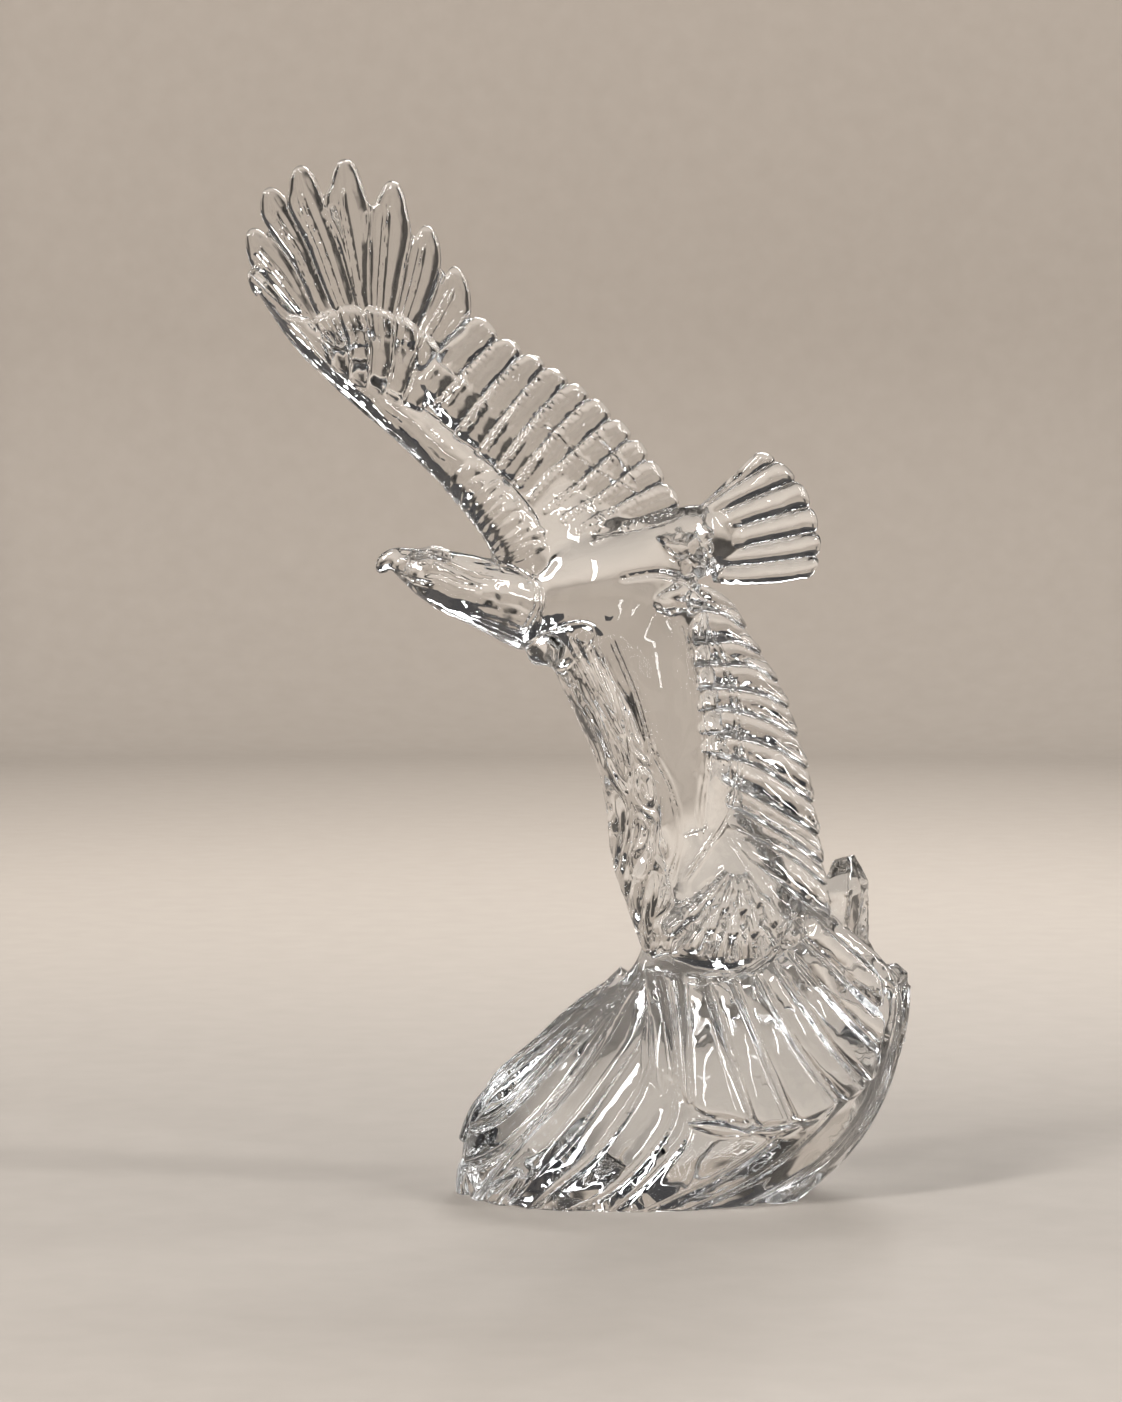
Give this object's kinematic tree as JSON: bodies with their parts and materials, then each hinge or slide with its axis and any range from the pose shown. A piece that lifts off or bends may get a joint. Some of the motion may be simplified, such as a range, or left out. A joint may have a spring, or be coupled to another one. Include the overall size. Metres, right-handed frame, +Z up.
{
  "type": "crystal eagle figurine",
  "caption": "Clear pressed crystal figurine of a banking eagle with one raised and one lowered wing, cast with the fluted rock that it stands on.",
  "frame": {"origin": "centre of the bounding box, at the level of the underside that the figurine stands on", "axes": "+Z up to the raised wing, +X from the beak to the tail, -Y the side that shows the bird's back"},
  "size_m": [0.2079, 0.0797, 0.32],
  "materials": {
    "crystal": "clear, fire-polished lead crystal"
  },
  "bodies": {
    "root": {"crystal_eagle": "crystal"}
  },
  "joints": []
}
